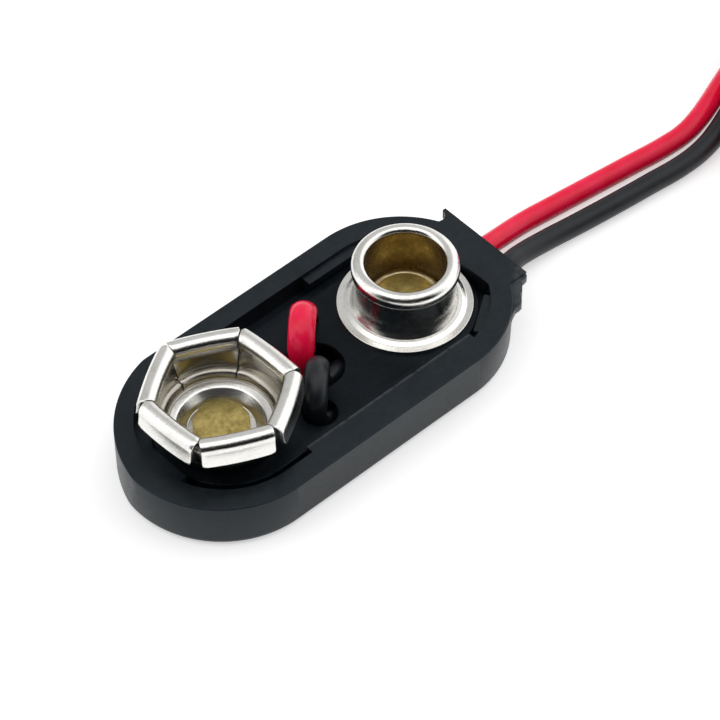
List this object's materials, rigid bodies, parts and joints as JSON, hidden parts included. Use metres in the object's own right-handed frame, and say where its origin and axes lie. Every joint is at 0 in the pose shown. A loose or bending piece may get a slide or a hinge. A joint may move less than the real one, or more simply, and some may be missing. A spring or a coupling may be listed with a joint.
{
  "type": "9 v battery snap",
  "caption": "Moulded snap connector for a 9 V battery: a petalled crown socket and a round stud riveted to a plate in an oblong shell, with a red and a black lead.",
  "frame": {"origin": "on the shell's flat back, midway between the two contacts", "axes": "+X from the socket towards the stud and the leads, +Y across the shell, +Z the way the contacts face"},
  "size_m": [0.059, 0.0188, 0.0057],
  "materials": {
    "shell_plastic": "satin moulded black",
    "plate_plastic": "satin moulded black",
    "nickel_plate": "bright nickel plate",
    "brass": "dull brass",
    "red_insulation": "smooth",
    "black_insulation": "smooth",
    "tinned_copper": "tinned strands",
    "solder": "solder",
    "coil_insulation": "smooth",
    "tie_plastic": "smooth"
  },
  "bodies": {
    "root": {"shell": "shell_plastic", "carrier_plate": "plate_plastic", "socket_contact": "nickel_plate", "stud_contact": "nickel_plate", "socket_rivet": "brass", "stud_rivet": "brass", "red_inner_lead": "red_insulation", "black_inner_lead": "black_insulation", "red_conductor": "tinned_copper", "black_conductor": "tinned_copper", "socket_solder": "solder", "stud_solder": "solder", "red_lead": "red_insulation", "black_lead": "black_insulation", "lead_coil": "coil_insulation", "red_tinned_end": "tinned_copper", "black_tinned_end": "tinned_copper", "coil_tie": "tie_plastic"}
  },
  "joints": []
}
